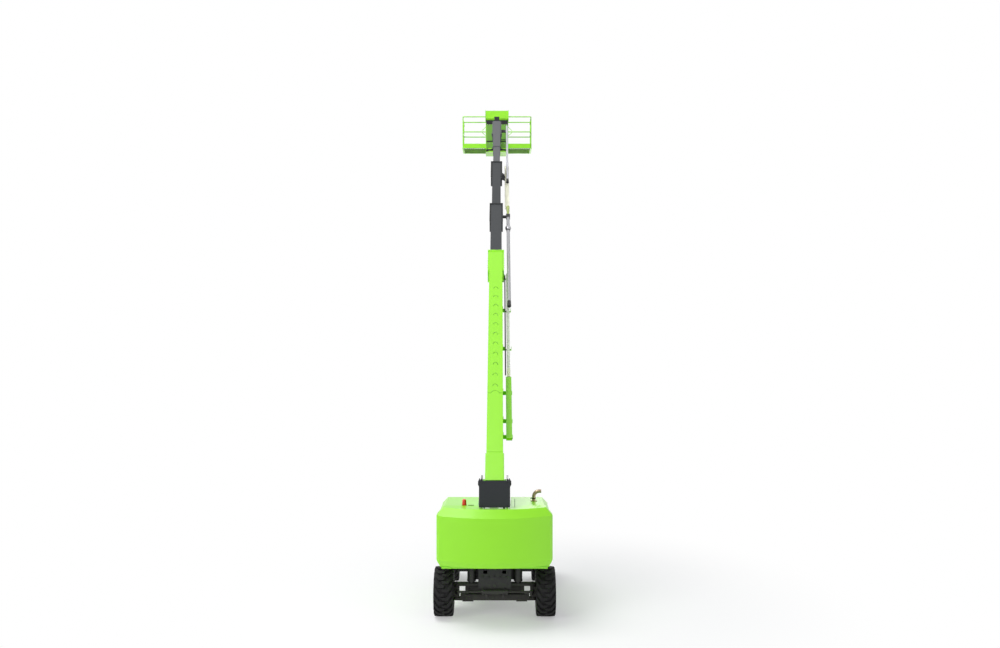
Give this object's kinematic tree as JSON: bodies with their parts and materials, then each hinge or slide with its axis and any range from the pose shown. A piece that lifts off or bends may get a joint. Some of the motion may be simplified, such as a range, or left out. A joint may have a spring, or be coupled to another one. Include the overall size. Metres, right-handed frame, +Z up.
{
  "type": "telescopic boom lift",
  "caption": "Self-propelled telescopic boom lift, boom raised, with slewing turntable, counterweight, levelled jib and guard-railed work platform.",
  "frame": {"origin": "on the ground, at the middle of the machine's footprint rectangle with the boom raised as stored", "axes": "+Z up, +Y the way the boom points, +X to the machine's right"},
  "size_m": [2.447, 15.6109, 13.4353],
  "materials": {
    "green_paint": "gloss",
    "dark_grey_paint": "satin",
    "grey_paint": "satin",
    "black_paint": "satin",
    "counterweight_iron": "gloss paint",
    "tyre_rubber": "matt",
    "tube_steel": "satin",
    "chain_plastic": "matt",
    "rod_chrome": "polished",
    "beacon_plastic": "glossy",
    "exhaust_steel": "heat stained",
    "console_plastic": "gloss"
  },
  "bodies": {
    "chassis": {"chassis_frame": "dark_grey_paint", "cross_beams": "dark_grey_paint", "axle_lock_cylinders": "black_paint", "steer_axle": "dark_grey_paint", "steer_cylinder": "black_paint", "fixed_axle": "dark_grey_paint"},
    "knuckle_left": {"knuckle_left": "dark_grey_paint"},
    "knuckle_right": {"knuckle_right": "dark_grey_paint"},
    "steer_rod": {"steer_rod": "rod_chrome"},
    "wheel_steer_right": {"tyre_steer_right": "tyre_rubber", "rim_steer_right": "dark_grey_paint"},
    "wheel_steer_left": {"tyre_steer_left": "tyre_rubber", "rim_steer_left": "dark_grey_paint"},
    "wheel_fixed_right": {"tyre_fixed_right": "tyre_rubber", "rim_fixed_right": "dark_grey_paint"},
    "wheel_fixed_left": {"tyre_fixed_left": "tyre_rubber", "rim_fixed_left": "dark_grey_paint"},
    "turntable": {"turntable_frame": "green_paint", "counterweight": "counterweight_iron", "hood_right": "green_paint", "hood_left": "green_paint", "engine_block": "grey_paint", "rear_cover": "dark_grey_paint", "beacon": "beacon_plastic", "exhaust_pipe": "exhaust_steel"},
    "door_right": {"door_right": "green_paint"},
    "door_left": {"door_left": "green_paint"},
    "base_section": {"base_boom": "green_paint", "hose_tray": "green_paint", "lower_energy_chain": "chain_plastic"},
    "lift_barrel": {"lift_cylinder": "black_paint"},
    "lift_rod": {"lift_rod": "rod_chrome"},
    "section_2": {"boom_section_2": "grey_paint", "lower_hose_tube": "tube_steel"},
    "section_3": {"boom_section_3": "grey_paint", "upper_energy_chain": "chain_plastic"},
    "fly_section": {"fly_boom": "grey_paint", "upper_hose_tube": "tube_steel"},
    "level_barrel": {"level_cylinder": "black_paint"},
    "level_rod": {"level_rod": "rod_chrome"},
    "jib_base": {"jib_base": "black_paint"},
    "jib_arm": {"jib_arm": "grey_paint"},
    "jib_link": {"jib_link": "grey_paint"},
    "jib_barrel": {"jib_cylinder": "black_paint"},
    "jib_rod": {"jib_rod": "rod_chrome"},
    "platform_support": {"platform_support": "black_paint"},
    "platform": {"platform_bracket": "green_paint", "platform_floor": "green_paint", "platform_rails": "green_paint", "control_console": "console_plastic"},
    "gate": {"platform_gate": "green_paint"}
  },
  "joints": [
    {"name": "steer_left", "type": "hinge", "parent": "chassis", "child": "knuckle_left", "pos_m": [-0.77, -6.68556, 0.49], "axis": [0, 0, 1], "range_deg": [-40, 40]},
    {"name": "steer_right", "type": "hinge", "parent": "chassis", "child": "knuckle_right", "pos_m": [0.77, -6.68556, 0.49], "axis": [0, 0, 1], "range_deg": [-40, 40]},
    {"name": "steer_rod_slide", "type": "slide", "parent": "chassis", "child": "steer_rod", "axis": [1, 0, 0], "range_m": [-0.1416, 0.1416]},
    {"name": "wheel_steer_right_spin", "type": "hinge", "parent": "knuckle_right", "child": "wheel_steer_right", "pos_m": [1.02, -6.68556, 0.49], "axis": [1, 0, 0], "continuous": true},
    {"name": "wheel_steer_left_spin", "type": "hinge", "parent": "knuckle_left", "child": "wheel_steer_left", "pos_m": [-1.02, -6.68556, 0.49], "axis": [1, 0, 0], "continuous": true},
    {"name": "wheel_fixed_right_spin", "type": "hinge", "parent": "chassis", "child": "wheel_fixed_right", "pos_m": [1.02, -4.18556, 0.49], "axis": [1, 0, 0], "continuous": true},
    {"name": "wheel_fixed_left_spin", "type": "hinge", "parent": "chassis", "child": "wheel_fixed_left", "pos_m": [-1.02, -4.18556, 0.49], "axis": [1, 0, 0], "continuous": true},
    {"name": "slew", "type": "hinge", "parent": "chassis", "child": "turntable", "pos_m": [0, -5.43556, 0.97], "axis": [0, 0, 1], "continuous": true},
    {"name": "door_right_swing", "type": "hinge", "parent": "turntable", "child": "door_right", "pos_m": [1.087, -6.46056, 2.122], "axis": [0, -1, 0], "range_deg": [0, 80]},
    {"name": "door_left_swing", "type": "hinge", "parent": "turntable", "child": "door_left", "pos_m": [-1.087, -6.46056, 2.122], "axis": [0, 1, 0], "range_deg": [0, 80]},
    {"name": "luff", "type": "hinge", "parent": "turntable", "child": "base_section", "pos_m": [0, -7.25556, 2.77], "axis": [1, 0, 0], "range_deg": [-39.5, 36.5]},
    {"name": "lift_barrel_swing", "type": "hinge", "parent": "turntable", "child": "lift_barrel", "pos_m": [0, -7.03556, 1.45], "axis": [1, 0, 0], "range_deg": [-28.15, 26.05]},
    {"name": "lift_rod_slide", "type": "slide", "parent": "lift_barrel", "child": "lift_rod", "axis": [0, 0.6063, 0.7953], "range_m": [-0.6914, 0.639]},
    {"name": "telescope_2", "type": "slide", "parent": "base_section", "child": "section_2", "axis": [0, 0.7826, 0.6225], "range_m": [-0.98, 3]},
    {"name": "telescope_3", "type": "slide", "parent": "section_2", "child": "section_3", "axis": [0, 0.7826, 0.6225], "range_m": [-0.98, 3]},
    {"name": "telescope_fly", "type": "slide", "parent": "section_3", "child": "fly_section", "axis": [0, 0.7826, 0.6225], "range_m": [-0.98, 3]},
    {"name": "platform_level", "type": "hinge", "parent": "fly_section", "child": "jib_base", "pos_m": [0, 4.92556, 12.1143], "axis": [1, 0, 0], "range_deg": [-37, 40]},
    {"name": "level_barrel_swing", "type": "hinge", "parent": "fly_section", "child": "level_barrel", "pos_m": [0, 4.40085, 11.56915], "axis": [1, 0, 0], "range_deg": [-3, 3]},
    {"name": "level_rod_slide", "type": "slide", "parent": "level_barrel", "child": "level_rod", "axis": [0, 0.871, 0.4912], "range_m": [-0.15, 0.15]},
    {"name": "jib_luff", "type": "hinge", "parent": "jib_base", "child": "jib_arm", "pos_m": [0, 5.34556, 12.16429], "axis": [1, 0, 0], "range_deg": [-60, 50]},
    {"name": "jib_link_swing", "type": "hinge", "parent": "jib_base", "child": "jib_link", "pos_m": [0, 5.34556, 12.38429], "axis": [1, 0, 0], "range_deg": [-60.5, 50.5]},
    {"name": "platform_support_swing", "type": "hinge", "parent": "jib_arm", "child": "platform_support", "pos_m": [0, 6.49556, 12.16429], "axis": [1, 0, 0], "range_deg": [-50.5, 60.5]},
    {"name": "jib_barrel_swing", "type": "hinge", "parent": "jib_base", "child": "jib_barrel", "pos_m": [0, 5.33556, 12.03929], "axis": [1, 0, 0], "range_deg": [-59.66, 49.8]},
    {"name": "jib_rod_slide", "type": "slide", "parent": "jib_barrel", "child": "jib_rod", "axis": [0, 0.986, 0.1669], "range_m": [-0.1213, 0.1014]},
    {"name": "platform_rotate", "type": "hinge", "parent": "platform_support", "child": "platform", "pos_m": [0, 6.69556, 12.06029], "axis": [0, 0, 1], "range_deg": [-80, 80]},
    {"name": "gate_swing", "type": "hinge", "parent": "platform", "child": "gate", "pos_m": [-1.202, 7.70756, 12.66029], "axis": [0, 0, 1], "range_deg": [0, 90]}
  ],
  "couplings": [
    {"joint": "steer_right", "follows": "steer_left", "ratio": 1},
    {"joint": "steer_rod_slide", "follows": "steer_left", "m_per_rad": 0.2},
    {"joint": "lift_barrel_swing", "follows": "luff", "ratio": 0.7},
    {"joint": "lift_rod_slide", "follows": "luff", "m_per_rad": 1},
    {"joint": "telescope_3", "follows": "telescope_2", "ratio": 1},
    {"joint": "telescope_fly", "follows": "telescope_2", "ratio": 1},
    {"joint": "platform_level", "follows": "luff", "ratio": -1},
    {"joint": "level_barrel_swing", "follows": "luff", "ratio": -0.035},
    {"joint": "level_rod_slide", "follows": "luff", "m_per_rad": -0.203},
    {"joint": "jib_link_swing", "follows": "jib_luff", "ratio": 1},
    {"joint": "platform_support_swing", "follows": "jib_luff", "ratio": -1},
    {"joint": "jib_barrel_swing", "follows": "jib_luff", "ratio": 0.986},
    {"joint": "jib_rod_slide", "follows": "jib_luff", "m_per_rad": 0.1139}
  ]
}
